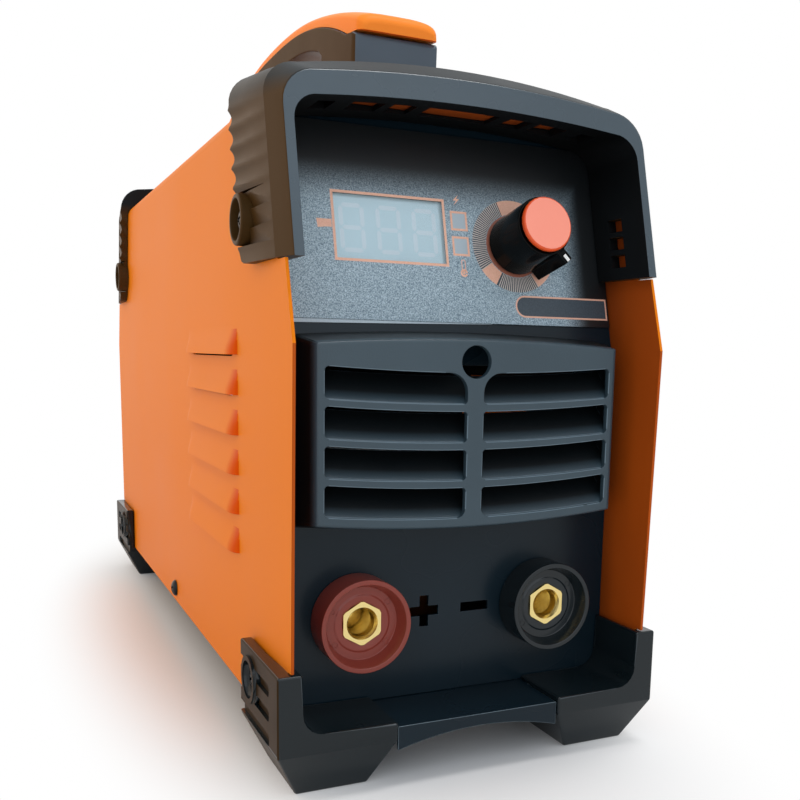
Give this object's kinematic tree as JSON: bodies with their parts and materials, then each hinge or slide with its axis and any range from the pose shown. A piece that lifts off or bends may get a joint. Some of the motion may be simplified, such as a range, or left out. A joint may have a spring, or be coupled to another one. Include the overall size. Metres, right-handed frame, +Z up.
{
  "type": "stick welding inverter",
  "caption": "Portable stick welding power source: orange sheet-metal case with black hoods and feet, carry handle, display, current knob, quick-connect output sockets, fan and power switch.",
  "frame": {"origin": "middle of the footprint, on the surface the feet stand on", "axes": "+Z up; the control panel and sockets face -Y; +X is to the right seen from the front; the handle runs along Y"},
  "size_m": [0.141, 0.368, 0.2771],
  "materials": {
    "cover_paint": "orange powder coat, semi-gloss",
    "panel_paint": "black powder coat, satin",
    "hood_abs": "moulded black plastic, fine texture",
    "foot_abs": "moulded black plastic, fine texture",
    "grille_abs": "moulded black plastic, fine texture",
    "handle_abs": "dark slate moulded plastic, satin",
    "handle_cap_abs": "orange moulded plastic, glossy",
    "overlay_film": "printed slate film",
    "window_acrylic": "clear pane",
    "display_face": "pale grey display face",
    "lamp_green": "lens",
    "lamp_amber": "lens",
    "board_fibreglass": "circuit board with solder mask",
    "zinc_steel": "zinc plated",
    "black_steel": "black oxide",
    "knob_abs": "moulded black plastic, satin",
    "knob_cap_abs": "orange moulded plastic",
    "socket_positive": "red-brown moulded plastic",
    "socket_negative": "black moulded plastic",
    "socket_brass": "turned brass",
    "fan_abs": "moulded black plastic",
    "rocker_red": "red moulded plastic",
    "switch_abs": "moulded black plastic",
    "gland_nylon": "moulded nylon",
    "earth_brass": "turned brass",
    "aluminium_extrusion": "extruded aluminium",
    "ferrite_core": "dull ferrite",
    "copper_winding": "enamelled copper wire",
    "capacitor_sleeve": "shrink sleeve",
    "rectifier_epoxy": "epoxy block"
  },
  "bodies": {
    "case": {"base_pan": "panel_paint", "bridge_rectifier": "rectifier_epoxy", "cable_gland": "gland_nylon", "capacitor_left": "capacitor_sleeve", "capacitor_right": "capacitor_sleeve", "control_board": "board_fibreglass", "control_overlay": "overlay_film", "cover": "cover_paint", "cover_screw_left": "black_steel", "cover_screw_right": "black_steel", "display_module": "display_face", "display_window": "window_acrylic", "earth_screw": "earth_brass", "fan_frame": "fan_abs", "fan_guard": "black_steel", "foot_front_left": "foot_abs", "foot_front_right": "foot_abs", "foot_rear_left": "foot_abs", "foot_rear_right": "foot_abs", "foot_screw_front_left": "black_steel", "foot_screw_front_right": "black_steel", "foot_screw_rear_left": "black_steel", "foot_screw_rear_right": "black_steel", "front_grille": "grille_abs", "front_hood": "hood_abs", "front_panel": "panel_paint", "gland_locknut": "gland_nylon", "handle_body": "handle_abs", "handle_cap": "handle_cap_abs", "handle_screw_front": "zinc_steel", "handle_screw_rear": "zinc_steel", "heatsink_left": "aluminium_extrusion", "heatsink_right": "aluminium_extrusion", "hood_screw_front_left": "black_steel", "hood_screw_front_right": "black_steel", "hood_screw_rear_left": "black_steel", "hood_screw_rear_right": "black_steel", "main_board": "board_fibreglass", "output_choke": "copper_winding", "overheat_lamp": "lamp_amber", "pot_nut": "zinc_steel", "potentiometer": "zinc_steel", "power_lamp": "lamp_green", "power_switch_body": "switch_abs", "rear_hood": "hood_abs", "rear_panel": "panel_paint", "socket_contact_negative": "socket_brass", "socket_contact_positive": "socket_brass", "socket_nut_negative": "switch_abs", "socket_nut_positive": "switch_abs", "socket_shell_negative": "socket_negative", "socket_shell_positive": "socket_positive", "transformer_core": "ferrite_core", "transformer_winding": "copper_winding"},
    "current_knob": {"current_knob": "knob_abs", "knob_cap": "knob_cap_abs", "pot_shaft": "zinc_steel"},
    "power_rocker": {"power_rocker": "rocker_red"},
    "fan_rotor": {"fan_rotor": "fan_abs"}
  },
  "joints": [
    {"name": "current_knob_turn", "type": "hinge", "parent": "case", "child": "current_knob", "pos_m": [0.0263, -0.14774, 0.17506], "axis": [0, -0.9701, 0.2425], "range_deg": [0, 280]},
    {"name": "power_rocker_tilt", "type": "hinge", "parent": "case", "child": "power_rocker", "pos_m": [-0.03, 0.14681, 0.18287], "axis": [-1, 0, 0], "range_deg": [0, 24]},
    {"name": "fan_spin", "type": "hinge", "parent": "case", "child": "fan_rotor", "pos_m": [0, 0.143, 0.076], "axis": [0, 1, 0], "continuous": true}
  ]
}
